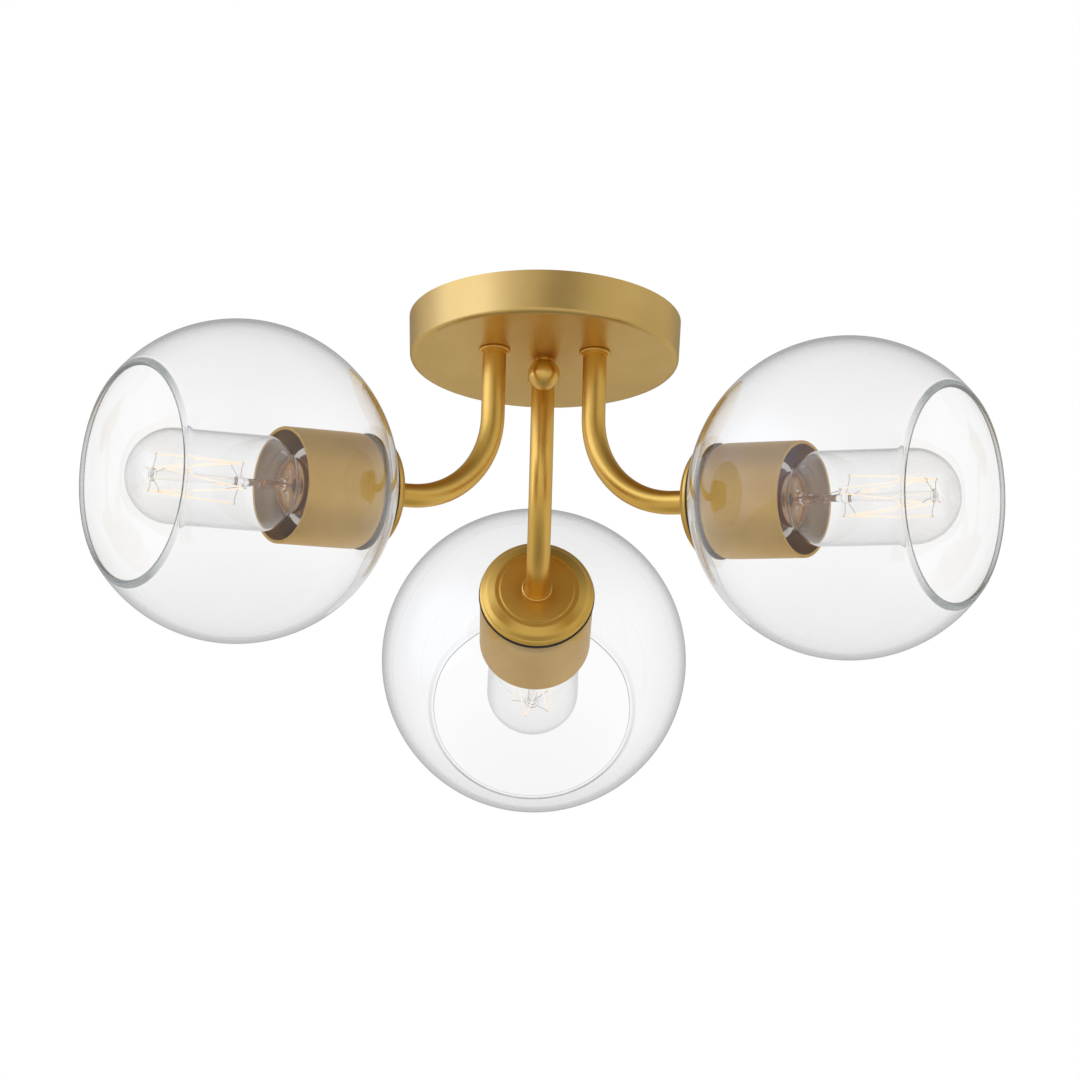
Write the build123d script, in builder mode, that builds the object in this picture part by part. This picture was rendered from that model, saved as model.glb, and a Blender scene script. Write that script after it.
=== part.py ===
from build123d import *
import os
from math import acos, asin, atan2, cos, degrees, pi, radians, sin, sqrt, tan

# Semi flush ceiling light: three clear glass globes on bent arms under a round canopy.
# Frame: origin on the ceiling plane at the canopy's centre, +Z up, rear arm along +Y. Millimetres.
# Along a shade, t runs from the globe's centre towards its mouth and r is the distance from that axis.

os.makedirs("parts", exist_ok=True)

# ---------------------------------------------------------------- driving dimensions
# Mounting crossbar, screwed to a ceiling box through its two slots
slot_spacing = 79.4
slot_length = 15.0
slot_width = 4.8
crossbar_end = 6.8
crossbar_width = 20.0
crossbar_thick = 1.6
crossbar_corner_r = 6.5

# Canopy, a spun pan, with room past the crossbar's ends
canopy_spare = 9.6
canopy_taper = 1.6
canopy_height = 21.0
canopy_wall = 1.2
canopy_edge_r = 2.5
canopy_stud_gap = 0.4

# Stud and ball finial that hold the canopy up
stud_d = 6.35
stud_past_ball_centre = 1.5
stud_chamfer = 0.8
finial_bore_spare = 1.0
ball_d = 15.2
ball_flat_r = 4.7
finial_washer_d = 9.2
finial_washer_thick = 0.6
stud_nut_flats = 11.1
stud_nut_height = 5.6
ground_screw_d = 4.0
ground_screw_head_d = 8.0
ground_screw_head_height = 2.6
ground_screw_slot = 1.0
ground_screw_slot_depth = 1.3
ground_screw_inset = 22.0

# Arms
arm_azimuths = {"rear": 90.0, "left": 210.0, "right": 330.0}
arm_circle_r = 27.5
arm_od = 11.2
arm_wall = 1.5
arm_thread_step = 0.7
arm_thread_rise = 8.4
arm_end_gap = 0.3
arm_straight = 12.3
droop = 7.5
nut_overhang = 1.4
nut_height = 4.5
collar_overhang = 1.8
collar_height = 1.4
collar_step_overhang = 0.8
collar_step_height = 1.0
collar_edge_r = 0.55

# Glass globes
globe_centre_r = 163.2
globe_drop = 116.0
globe_d = 150.0
glass_wall = 1.6
mouth_d = 102.0
mouth_edge_r = 0.6
glass_hole_d = 30.0

# Back cap outside each globe, thin spun sheet
cap_d = 55.4
cap_wall = 1.0
cap_face_rise = 3.3
cap_face_overhang = 2.9
cap_step = 0.7
cap_step_out = 0.35
cap_dome_rise = 1.27
cap_ridge_in = 1.4
cap_ridge_depth = 4.4
cap_ridge_step = 0.35
cap_ridge_step_out = 0.25
cap_rim_depth = 6.9
cap_rim_land = 1.6

# Socket cup inside each globe, and the rubber between cap, glass and cup
cup_d = 54.6
cup_wall = 1.6
cup_corner_r = 7.0
cup_glass_gap = 1.04
gasket_overhang = 4.0
grommet_cap_gap = 0.4

# Porcelain lampholder
holder_length = 27.4
holder_recess = 12.3
holder_wall = 4.95
holder_rear_d = 30.0
holder_rear_length = 3.4
holder_taper_length = 3.0
holder_face_edge = 1.0
holder_inner_edge = 0.5
holder_well_d = 16.0
holder_floor = 2.0

# Medium screw base, 26 mm, and the shell that it turns in
thread_pitch = 3.629
thread_mean_r = 12.65
thread_depth = 0.45
thread_wall = 0.35
thread_gap = 0.35
thread_sections = 10
shell_depth = 18.2
shell_recess = 1.3
shell_flange = 0.4
shell_flange_hole_d = 18.0
base_length = 26.0
base_bottom_rise = 4.0
base_thread_length = 18.3
base_rim_r = 13.0
insulator_plug = 1.5
insulator_edge = 0.8
insulator_tip_r = 5.2
contact_drop = 0.3
contact_r = 4.6
contact_height = 1.15
contact_gap = 0.15
tongue_half_length = 6.5
tongue_width = 4.6
tongue_thick = 0.4
tongue_rise = 1.65
tongue_fold = 1.95
tongue_pad_start = -1.3
tongue_pad_end = 3.25

# Tubular bulb
bulb_d = 44.5
bulb_length = 110.0
bulb_glass = 0.8
bulb_neck_r = 12.1
bulb_neck_in_base = 3.1
shoulder_in_base = 1.5
shoulder_length = 15.5
shoulder_inner_r = 6.0
stem_flare_rise = 5.2
stem_tube_r = 3.2
stem_glass = 0.9
pinch_from_base = 5.5
pinch_length = 10.0
pinch_width = 8.4
pinch_thick = 3.4
pinch_edge_r = 1.1
stem_rod_r = 1.6
inner_button_from_pinch = 11.7
inner_button_r = 2.6
inner_button_length = 4.4
outer_button_from_tip = 11.5
outer_button_r = 3.3
outer_button_length = 2.0
filament_r = 0.4
filament_hooks = 5
filament_outer_r = 9.2
filament_inner_r = 10.2
filament_outer_back = 1.4
filament_inner_ahead = 1.9
filament_end_turn = 6.0
support_wire_r = 0.22

# Leads inside the arms
lead_r = 1.0
lead_spread = 1.6
lead_tip_r = 0.55
lead_tip_length = 9.0
lead_drop = 4.5
lead_bend_r = 6.0
lead_run = 26.0

# Clearances
bore_gap = 0.1
seat_gap = 0.02
running_gap = 0.06
face_gap = 0.05

# ---------------------------------------------------------------- values that follow
crossbar_length = slot_spacing + slot_length + 2 * crossbar_end
canopy_top_r = crossbar_length / 2 + canopy_wall + canopy_spare
canopy_bottom_r = canopy_top_r - canopy_taper / 2
canopy_floor_z = canopy_wall - canopy_height
stud_r = stud_d / 2
ball_r = ball_d / 2
finial_washer_z = -canopy_height - finial_washer_thick
finial_seat_z = finial_washer_z - seat_gap
ball_z = finial_seat_z - sqrt(ball_r**2 - ball_flat_r**2)
stud_end_z = ball_z - stud_past_ball_centre

arm_r = arm_od / 2
arm_bore_r = arm_r - arm_wall
arm_thread_r = arm_r - arm_thread_step
bore_r = arm_thread_r + bore_gap
nut_half_flats = arm_r + nut_overhang
collar_r = arm_r + collar_overhang
collar_step_r = arm_r + collar_step_overhang
collar_full_height = collar_height + collar_step_height
arm_top_shoulder_z = -canopy_height - collar_full_height
arm_top_end_z = canopy_floor_z + arm_thread_rise

globe_r = globe_d / 2
globe_inner_r = globe_r - glass_wall
glass_hole_r = glass_hole_d / 2
mouth_t = sqrt(globe_r**2 - (mouth_d / 2) ** 2)
cap_face_t = -globe_r - cap_face_rise
cap_inner_t = cap_face_t + cap_wall
cap_face_r = glass_hole_r + cap_face_overhang
cap_r = cap_d / 2
cap_ridge_r = cap_r - cap_ridge_in
cap_ridge_t = cap_face_t + cap_ridge_depth
cap_rim_t = cap_face_t + cap_rim_depth
arm_shade_shoulder_t = cap_face_t - collar_full_height

cup_r = cup_d / 2
cup_back_t = cup_glass_gap - sqrt(globe_inner_r**2 - (cup_r - cup_corner_r) ** 2)
cup_inner_back_t = cup_back_t + cup_wall
holder_rear_t = cup_inner_back_t + nut_height
holder_taper_t = holder_rear_t + holder_rear_length
holder_face_t = holder_rear_t + holder_length
cup_mouth_t = holder_face_t + holder_recess
shell_inner_r = thread_mean_r + thread_gap
shell_outer_r = shell_inner_r + thread_wall + thread_depth
shell_ledge_t = holder_face_t - shell_depth
shell_mouth_t = holder_face_t - shell_recess
holder_r = shell_outer_r + holder_wall
holder_well_r = holder_well_d / 2
contact_t = shell_ledge_t - contact_drop
tongue_t = contact_t - contact_gap
holder_well_t = tongue_t - tongue_rise
holder_floor_t = holder_well_t - holder_floor
arm_shade_end_t = holder_floor_t - arm_end_gap

thread_run_out = thread_pitch / 2
thread_root_r = thread_mean_r - thread_depth
base_bottom_t = contact_t + base_bottom_rise
base_thread_top_t = base_bottom_t + base_thread_length
base_top_t = contact_t + base_length
insulator_tip_t = contact_t + contact_height
bulb_r = bulb_d / 2
bulb_dome_t = contact_t + bulb_length - bulb_r
bulb_neck_t = base_top_t - bulb_neck_in_base
shoulder_start_t = base_top_t - shoulder_in_base
shoulder_end_t = shoulder_start_t + shoulder_length
pinch_start_t = base_top_t + pinch_from_base
pinch_end_t = pinch_start_t + pinch_length
inner_button_t = pinch_end_t + inner_button_from_pinch
outer_button_t = contact_t + bulb_length - outer_button_from_tip
filament_inner_t = inner_button_t + filament_inner_ahead
filament_outer_t = outer_button_t - filament_outer_back
wire_reach = filament_r + support_wire_r + face_gap


def save(piece, name):
    """Label a finished piece and write it under that name."""
    piece.label = name
    export_step(piece, f"parts/{name}.step")


def shade_place(azimuth):
    """Where a shade built round the Z axis goes: its globe's centre, with +Z drooping outwards."""
    outward = Vector(cos(radians(azimuth)), sin(radians(azimuth)), 0)
    centre = outward * globe_centre_r - Vector(0, 0, globe_drop)
    direction = outward * cos(radians(droop)) - Vector(0, 0, sin(radians(droop)))
    return Plane(origin=centre, x_dir=outward.cross(Vector(0, 0, 1)), z_dir=direction).location


def arm_route(top_z, end_t):
    """Corners of an arm's centre line in the XZ plane, from top_z to end_t on the shade's axis."""
    slope = radians(droop)
    corner_z = (globe_centre_r - arm_circle_r) * tan(slope) - globe_drop
    end = (globe_centre_r + end_t * cos(slope), -globe_drop - end_t * sin(slope))
    return [(arm_circle_r, top_z), (arm_circle_r, corner_z), end]


def thread_loft(t_low, t_high, mean_r, shrink, mode=Mode.ADD):
    """Rounded thread: circles whose centres go round a helix and come back to the axis at both ends.

    There the circles shrink by the thread's depth on a screw, shrink 1, and grow by it on its shell, -1.
    """
    count = round((t_high - t_low) / thread_pitch * thread_sections)
    sections = []
    for step in range(count + 1):
        t = t_low + (t_high - t_low) * step / count
        to_end = min(t - t_low, t_high - t)
        offset_r = thread_depth * min(to_end / thread_run_out, 1.0)
        turn = 2 * pi * (t - contact_t) / thread_pitch
        with BuildSketch(Plane.XY.offset(t)) as ring:
            with Locations((offset_r * cos(turn), offset_r * sin(turn))):
                Circle(mean_r - shrink * (thread_depth - offset_r))
        sections.append(ring.sketch)
    loft(sections=sections, mode=mode)


def strand(start, end, radius):
    """Straight round wire between two points, added to the part in hand."""
    with BuildLine() as run:
        Line(start, end)
    with BuildSketch(run.line ^ 0) as end_face:
        Circle(radius)
    sweep(sections=end_face.sketch, path=run.line)


def around(radius, turn, t):
    """Point at a radius and a turn in degrees round the shade's axis, at t."""
    return (radius * cos(radians(turn)), radius * sin(radians(turn)), t)


# ---------------------------------------------------------------- canopy and what holds it up
with BuildPart() as canopy:
    with BuildSketch(Plane.XZ):
        with BuildLine():
            Polyline(
                (0, -canopy_height),
                (canopy_bottom_r, -canopy_height),
                (canopy_top_r, 0),
                (0, 0),
                close=True,
            )
        make_face()
    revolve(axis=Axis.Z)
    fillet(canopy.edges().sort_by(Axis.Z)[0], radius=canopy_edge_r)
    offset(amount=-canopy_wall, openings=canopy.faces().sort_by(Axis.Z)[-1])
    with BuildSketch(Plane.XY.offset(-canopy_height)):
        Circle(stud_r + canopy_stud_gap)
        with PolarLocations(arm_circle_r, len(arm_azimuths), start_angle=arm_azimuths["rear"]):
            Circle(bore_r)
    extrude(amount=canopy_wall, mode=Mode.SUBTRACT)
save(canopy.part, "canopy")

with BuildPart() as mounting_crossbar:
    with BuildSketch():
        RectangleRounded(crossbar_length, crossbar_width, crossbar_corner_r)
        with GridLocations(slot_spacing, 0, 2, 1):
            SlotOverall(slot_length, slot_width, mode=Mode.SUBTRACT)
        Circle(stud_r + running_gap, mode=Mode.SUBTRACT)
        with Locations((ground_screw_inset, 0)):
            Circle(ground_screw_d / 2 + running_gap, mode=Mode.SUBTRACT)
    extrude(amount=-crossbar_thick)
save(mounting_crossbar.part, "mounting_crossbar")

with BuildPart() as ground_screw:
    with BuildSketch(Plane.XY.offset(-crossbar_thick)):
        with Locations((ground_screw_inset, 0)):
            Circle(ground_screw_d / 2)
    extrude(amount=crossbar_thick - face_gap)
    with BuildSketch(Plane.XY.offset(-crossbar_thick)):
        with Locations((ground_screw_inset, 0)):
            RegularPolygon(ground_screw_head_d / 2, 6)
    extrude(amount=-ground_screw_head_height)
    with BuildSketch(Plane.XY.offset(-crossbar_thick - ground_screw_head_height)):
        with Locations((ground_screw_inset, 0)):
            Rectangle(ground_screw_head_d, ground_screw_slot)
    extrude(amount=ground_screw_slot_depth, mode=Mode.SUBTRACT)
save(ground_screw.part, "ground_screw")

with BuildPart() as centre_stud:
    with BuildSketch(Plane.XY.offset(-face_gap)):
        Circle(stud_r)
    extrude(amount=stud_end_z + face_gap)
    chamfer(centre_stud.edges().sort_by(Axis.Z)[0], length=stud_chamfer)
save(centre_stud.part, "centre_stud")

with BuildPart() as stud_lock_nut:
    with BuildSketch(Plane.XY.offset(-crossbar_thick)):
        RegularPolygon(stud_nut_flats / 2, 6, major_radius=False)
        Circle(stud_r + running_gap, mode=Mode.SUBTRACT)
    extrude(amount=-stud_nut_height)
save(stud_lock_nut.part, "stud_lock_nut")

with BuildPart() as finial_washer:
    with BuildSketch(Plane.XY.offset(finial_washer_z)):
        Circle(finial_washer_d / 2)
        Circle(stud_r + running_gap, mode=Mode.SUBTRACT)
    extrude(amount=finial_washer_thick - seat_gap)
save(finial_washer.part, "finial_washer")

with BuildPart() as ball_finial:
    with BuildSketch(Plane.XZ):
        with BuildLine():
            ball_side = CenterArc((0, ball_z), ball_r, -90, 90 + degrees(acos(ball_flat_r / ball_r)))
            Polyline(ball_side @ 1, (0, finial_seat_z), (0, ball_z - ball_r))
        make_face()
    revolve(axis=Axis.Z)
    with BuildSketch(Plane.XY.offset(finial_seat_z)):
        Circle(stud_r + running_gap)
    extrude(amount=stud_end_z - finial_seat_z - finial_bore_spare, mode=Mode.SUBTRACT)
save(ball_finial.part, "ball_finial")

# ---------------------------------------------------------------- rings and nuts that repeat
with BuildPart() as canopy_collars:
    with BuildSketch(Plane.XY.offset(-canopy_height)):
        with PolarLocations(arm_circle_r, len(arm_azimuths), start_angle=arm_azimuths["rear"]):
            Circle(collar_r)
            Circle(bore_r, mode=Mode.SUBTRACT)
    extrude(amount=-collar_height)
    rings = canopy_collars.edges().filter_by(GeomType.CIRCLE)
    fillet(rings.group_by(SortBy.RADIUS)[-1], radius=collar_edge_r)
    with BuildSketch(Plane.XY.offset(-canopy_height - collar_height)):
        with PolarLocations(arm_circle_r, len(arm_azimuths), start_angle=arm_azimuths["rear"]):
            Circle(collar_step_r)
            Circle(bore_r, mode=Mode.SUBTRACT)
    extrude(amount=-collar_step_height)
save(canopy_collars.part, "canopy_collars")

with BuildPart() as arm_lock_nuts:
    with BuildSketch(Plane.XY.offset(canopy_floor_z)):
        with PolarLocations(arm_circle_r, len(arm_azimuths), start_angle=arm_azimuths["rear"]):
            RegularPolygon(nut_half_flats, 6, major_radius=False)
            Circle(bore_r, mode=Mode.SUBTRACT)
    extrude(amount=nut_height)
save(arm_lock_nuts.part, "arm_lock_nuts")

# ---------------------------------------------------------------- arm, in the XZ plane
with BuildPart() as arm_tube:
    with BuildLine(Plane.XZ) as bend:
        route = arm_route(arm_top_shoulder_z, arm_shade_shoulder_t)
        top, corner, end = (Vector(*point) for point in route)
        bend_leg = min((corner - top).length, (end - corner).length) - arm_straight
        arm_bend_r = bend_leg / tan(radians((90 - droop) / 2))
        FilletPolyline(*route, radius=arm_bend_r)
    with BuildSketch(bend.line ^ 0):
        Circle(arm_r)
        Circle(arm_bore_r, mode=Mode.SUBTRACT)
    sweep(path=bend.line)
    for end, length in (
        (bend.line ^ 0, arm_top_shoulder_z - arm_top_end_z),
        (bend.line ^ 1, arm_shade_end_t - arm_shade_shoulder_t),
    ):
        with BuildSketch(end):
            Circle(arm_thread_r)
            Circle(arm_bore_r, mode=Mode.SUBTRACT)
        extrude(amount=length)

with BuildPart() as lead:
    with BuildLine(Plane.XZ.offset(-lead_spread)) as lead_route:
        rise, corner, end = arm_route(-lead_drop, arm_shade_end_t)
        lead_start = (arm_circle_r + lead_run, -lead_drop)
        FilletPolyline(lead_start, rise, corner, end, radius=[lead_bend_r, arm_bend_r])
    with BuildSketch(lead_route.line ^ 0):
        Circle(lead_r)
    sweep(path=lead_route.line)

with BuildPart() as lead_tip:
    with BuildSketch(lead_route.line ^ 0):
        Circle(lead_tip_r)
    extrude(amount=-lead_tip_length)

with BuildPart() as hot_leads:
    with PolarLocations(0, len(arm_azimuths), start_angle=arm_azimuths["rear"]):
        add(lead.part)
save(hot_leads.part, "hot_leads")

with BuildPart() as neutral_leads:
    with PolarLocations(0, len(arm_azimuths), start_angle=arm_azimuths["rear"]):
        add(lead.part.mirror(Plane.XZ))
save(neutral_leads.part, "neutral_leads")

with BuildPart() as lead_tips:
    with PolarLocations(0, len(arm_azimuths), start_angle=arm_azimuths["rear"]):
        add(lead_tip.part)
        add(lead_tip.part.mirror(Plane.XZ))
save(lead_tips.part, "lead_tips")

# ---------------------------------------------------------------- shade, round the Z axis with z = t
with BuildPart() as cap_collar:
    with BuildSketch(Plane.XY.offset(cap_face_t)):
        Circle(collar_r)
        Circle(bore_r, mode=Mode.SUBTRACT)
    extrude(amount=-collar_height)
    rings = cap_collar.edges().filter_by(GeomType.CIRCLE)
    fillet(rings.group_by(SortBy.RADIUS)[-1], radius=collar_edge_r)
    with BuildSketch(Plane.XY.offset(cap_face_t - collar_height)):
        Circle(collar_step_r)
        Circle(bore_r, mode=Mode.SUBTRACT)
    extrude(amount=-collar_step_height)

with BuildPart() as back_cap:
    with BuildSketch(Plane.XZ):
        with BuildLine():
            dome_start = (cap_face_r + cap_step_out, cap_face_t + cap_step)
            dome_end = (cap_ridge_r, cap_ridge_t)
            Polyline((bore_r, cap_face_t), (cap_face_r, cap_face_t), dome_start)
            SagittaArc(dome_start, dome_end, cap_dome_rise)
            Polyline(
                dome_end,
                (cap_ridge_r + cap_ridge_step_out, cap_ridge_t + cap_ridge_step),
                (cap_r, cap_rim_t - cap_rim_land),
                (cap_r, cap_rim_t),
            )
            offset(amount=cap_wall, side=Side.LEFT, kind=Kind.INTERSECTION)
        make_face()
    revolve(axis=Axis.Z)

with BuildPart() as glass_grommet:
    with BuildSketch(Plane.XZ):
        with BuildLine():
            flange_r = cap_face_r - cap_wall - grommet_cap_gap
            neck_r = glass_hole_r - bore_gap
            seat_r = globe_r + seat_gap
            seat_start = -degrees(acos(neck_r / seat_r))
            seat_end = -degrees(acos(flange_r / seat_r))
            seat = CenterArc((0, 0), seat_r, seat_start, seat_end - seat_start)
            Polyline(
                seat @ 1,
                (flange_r, cap_inner_t),
                (bore_r, cap_inner_t),
                (bore_r, cup_back_t),
                (neck_r, cup_back_t),
                seat @ 0,
            )
        make_face()
    revolve(axis=Axis.Z)

with BuildPart() as glass_globe:
    with BuildSketch(Plane.XZ):
        with BuildLine():
            outer_start = -degrees(acos(glass_hole_r / globe_r))
            inner_start = -degrees(acos(glass_hole_r / globe_inner_r))
            outer_end = degrees(asin(mouth_t / globe_r))
            inner_end = degrees(asin(mouth_t / globe_inner_r))
            outer_face = CenterArc((0, 0), globe_r, outer_start, outer_end - outer_start)
            inner_face = CenterArc((0, 0), globe_inner_r, inner_start, inner_end - inner_start)
            Line(outer_face @ 0, inner_face @ 0)
            Line(outer_face @ 1, inner_face @ 1)
        make_face()
    revolve(axis=Axis.Z)
    fillet(glass_globe.edges().group_by(Axis.Z)[-1], radius=mouth_edge_r)

with BuildPart() as cup_gasket:
    with BuildSketch(Plane.XZ):
        with BuildLine():
            gasket_hole_r = glass_hole_r + bore_gap
            gasket_r = glass_hole_r + gasket_overhang
            seat_r = globe_inner_r - seat_gap
            seat_start = -degrees(acos(gasket_hole_r / seat_r))
            seat_end = -degrees(acos(gasket_r / seat_r))
            seat = CenterArc((0, 0), seat_r, seat_start, seat_end - seat_start)
            Polyline(seat @ 1, (gasket_r, cup_back_t), (gasket_hole_r, cup_back_t), seat @ 0)
        make_face()
    revolve(axis=Axis.Z)

with BuildPart() as socket_cup:
    with BuildSketch(Plane.XZ):
        with BuildLine():
            corner = (cup_r - cup_corner_r, cup_back_t + cup_corner_r)
            outer_corner = CenterArc(corner, cup_corner_r, -90, 90)
            inner_corner = CenterArc(corner, cup_corner_r - cup_wall, -90, 90)
            Polyline(
                outer_corner @ 1,
                (cup_r, cup_mouth_t),
                (cup_r - cup_wall, cup_mouth_t),
                inner_corner @ 1,
            )
            Polyline(
                inner_corner @ 0,
                (bore_r, cup_inner_back_t),
                (bore_r, cup_back_t),
                outer_corner @ 0,
            )
        make_face()
    revolve(axis=Axis.Z)

with BuildPart() as cup_lock_nut:
    with BuildSketch(Plane.XY.offset(cup_inner_back_t)):
        RegularPolygon(nut_half_flats, 6, major_radius=False)
        Circle(bore_r, mode=Mode.SUBTRACT)
    extrude(amount=nut_height)

with BuildPart() as lampholder:
    with BuildSketch(Plane.XZ):
        with BuildLine():
            face_inner_r = shell_outer_r + holder_face_edge
            Polyline(
                (0, holder_floor_t),
                (bore_r, holder_floor_t),
                (bore_r, holder_rear_t),
                (holder_rear_d / 2, holder_rear_t),
                (holder_rear_d / 2, holder_taper_t),
                (holder_r, holder_taper_t + holder_taper_length),
                (holder_r, holder_face_t - holder_face_edge),
                (holder_r - holder_face_edge, holder_face_t),
                (face_inner_r + holder_inner_edge, holder_face_t),
                (face_inner_r, holder_face_t - holder_inner_edge),
                (face_inner_r, shell_ledge_t),
                (holder_well_r, shell_ledge_t),
                (holder_well_r, holder_well_t),
                (0, holder_well_t),
                close=True,
            )
        make_face()
    revolve(axis=Axis.Z)

with BuildPart() as screw_shell:
    thread_loft(shell_ledge_t + shell_flange, shell_mouth_t, shell_inner_r + thread_wall, -1)
    thread_loft(shell_ledge_t + shell_flange, shell_mouth_t, shell_inner_r, -1, mode=Mode.SUBTRACT)
    with BuildSketch(Plane.XY.offset(shell_ledge_t)):
        Circle(shell_outer_r)
        Circle(shell_flange_hole_d / 2, mode=Mode.SUBTRACT)
    extrude(amount=shell_flange)

with BuildPart() as centre_contact:
    with BuildSketch(Plane.XZ):
        with BuildLine():
            strip_t = holder_well_t + tongue_thick
            pad_t = tongue_t - tongue_thick
            Polyline(
                (-tongue_half_length, holder_well_t),
                (tongue_half_length, holder_well_t),
                (tongue_half_length, strip_t),
                (tongue_fold - tongue_half_length, strip_t),
                (tongue_pad_start + tongue_thick, pad_t),
                (tongue_pad_end, pad_t),
                (tongue_pad_end, tongue_t),
                (tongue_pad_start, tongue_t),
                (-tongue_half_length, strip_t),
                close=True,
            )
        make_face()
    extrude(amount=tongue_width / 2, both=True)

# ---------------------------------------------------------------- bulb, in the shade's frame
with BuildPart() as bulb_base:
    thread_loft(base_bottom_t, base_thread_top_t, thread_mean_r, 1)
    thread_loft(base_bottom_t, base_thread_top_t, thread_mean_r - thread_wall, 1, mode=Mode.SUBTRACT)
    with BuildSketch(Plane.XZ):
        with BuildLine():
            flare = base_rim_r - thread_root_r
            Polyline(
                (thread_root_r - thread_wall, base_thread_top_t),
                (thread_root_r, base_thread_top_t),
                (base_rim_r, base_thread_top_t + flare),
                (base_rim_r, base_top_t),
                (base_rim_r - thread_wall, base_top_t),
                (base_rim_r - thread_wall, base_thread_top_t + flare + thread_wall / 2),
                (thread_root_r - thread_wall, base_thread_top_t + thread_wall / 2),
                close=True,
            )
        make_face()
    revolve(axis=Axis.Z)

with BuildPart() as bulb_insulator:
    with BuildSketch(Plane.XZ):
        with BuildLine():
            plug_r = thread_root_r - thread_wall - bore_gap
            Polyline(
                (0, base_bottom_t + insulator_plug),
                (plug_r, base_bottom_t + insulator_plug),
                (plug_r, base_bottom_t),
                (plug_r + thread_wall, base_bottom_t),
                (plug_r, base_bottom_t - insulator_edge),
                (insulator_tip_r, insulator_tip_t),
                (0, insulator_tip_t),
                close=True,
            )
        make_face()
    revolve(axis=Axis.Z)

with BuildPart() as bulb_contact:
    with BuildSketch(Plane.XZ):
        with BuildLine():
            button_top_t = insulator_tip_t - face_gap
            button_height = button_top_t - contact_t
            button_curve_r = (contact_r**2 + button_height**2) / (2 * button_height)
            button_turn = degrees(asin(contact_r / button_curve_r))
            button = CenterArc((0, contact_t + button_curve_r), button_curve_r, -90, button_turn)
            Polyline(button @ 1, (0, button_top_t), button @ 0)
        make_face()
    revolve(axis=Axis.Z)

with BuildPart() as bulb_envelope:
    with BuildSketch(Plane.XZ):
        with BuildLine():
            shoulder_turn = 2 * degrees(atan2(bulb_r - bulb_neck_r, shoulder_end_t - shoulder_start_t))
            shoulder_sum_r = (shoulder_end_t - shoulder_start_t) / sin(radians(shoulder_turn))
            shoulder_outer_r = shoulder_sum_r - shoulder_inner_r
            neck_centre = (bulb_neck_r + shoulder_inner_r, shoulder_start_t)
            body_centre = (bulb_r - shoulder_outer_r, shoulder_end_t)
            skins = []
            for skin in (0, bulb_glass):
                flare_arc = CenterArc(neck_centre, shoulder_inner_r + skin, 180, -shoulder_turn)
                body_arc = CenterArc(body_centre, shoulder_outer_r - skin, -shoulder_turn, shoulder_turn)
                dome = CenterArc((0, bulb_dome_t), bulb_r - skin, 0, 90)
                neck = Line((bulb_neck_r - skin, bulb_neck_t), flare_arc @ 0)
                Line(body_arc @ 1, dome @ 0)
                skins.append((neck @ 0, dome @ 1))
            Line(skins[0][0], skins[1][0])
            Line(skins[0][1], skins[1][1])
        make_face()
    revolve(axis=Axis.Z)

with BuildPart() as bulb_stem:
    with BuildSketch(Plane.XZ):
        with BuildLine():
            flare_r = bulb_neck_r - bulb_glass - bore_gap
            stem_flare_t = bulb_neck_t + bore_gap
            tube_t = stem_flare_t + stem_flare_rise
            Polyline(
                (flare_r - stem_glass, stem_flare_t),
                (flare_r, stem_flare_t),
                (flare_r, stem_flare_t + stem_glass),
                (stem_tube_r, tube_t),
                (stem_tube_r, pinch_start_t),
                (0, pinch_start_t),
                (0, pinch_start_t - stem_glass),
                (stem_tube_r - stem_glass, pinch_start_t - stem_glass),
                (stem_tube_r - stem_glass, tube_t - stem_glass),
                close=True,
            )
        make_face()
    revolve(axis=Axis.Z)
    with BuildSketch(Plane.XY.offset(pinch_start_t)):
        RectangleRounded(pinch_width, pinch_thick, pinch_edge_r)
    extrude(amount=pinch_end_t - pinch_start_t)
    with BuildSketch(Plane.XY.offset(pinch_end_t)):
        Circle(stem_rod_r)
    extrude(amount=outer_button_t - pinch_end_t)
    for middle_t, button_r, length in (
        (inner_button_t, inner_button_r, inner_button_length),
        (outer_button_t, outer_button_r, outer_button_length),
    ):
        with BuildSketch(Plane.XZ):
            with BuildLine():
                half = length / 2
                Line((0, middle_t - half), (button_r - half, middle_t - half))
                CenterArc((button_r - half, middle_t), half, -90, 180)
                Line((button_r - half, middle_t + half), (0, middle_t + half))
                Line((0, middle_t + half), (0, middle_t - half))
            make_face()
        revolve(axis=Axis.Z)

# The filament zigzags between inner hooks, at even places, and outer hooks, and starts and ends apart.
hook_step = 180.0 / filament_hooks
hooks = []
for place in range(2 * filament_hooks + 1):
    end_turn = {0: filament_end_turn, 2 * filament_hooks: -filament_end_turn}.get(place, 0)
    if place % 2:
        hooks.append((filament_outer_r, place * hook_step, filament_outer_t))
    else:
        hooks.append((filament_inner_r, place * hook_step + end_turn, filament_inner_t))

with BuildPart() as bulb_filament:
    for start, end in zip(hooks, hooks[1:]):
        strand(around(*start), around(*end), filament_r)
    with Locations(*[around(*hook) for hook in hooks]):
        Sphere(filament_r)

with BuildPart() as bulb_wires:
    for radius, turn, t in hooks[1:-1]:
        if radius == filament_outer_r:
            root = around(outer_button_r + face_gap, turn, outer_button_t)
        else:
            root = around(inner_button_r + face_gap, turn, inner_button_t)
        strand(root, around(radius - wire_reach, turn, t), support_wire_r)
    for radius, turn, t in (hooks[0], hooks[-1]):
        foot = around(pinch_width / 2 - pinch_edge_r, turn, pinch_end_t + face_gap)
        strand(foot, around(radius - wire_reach, turn, t - wire_reach), support_wire_r)

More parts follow.
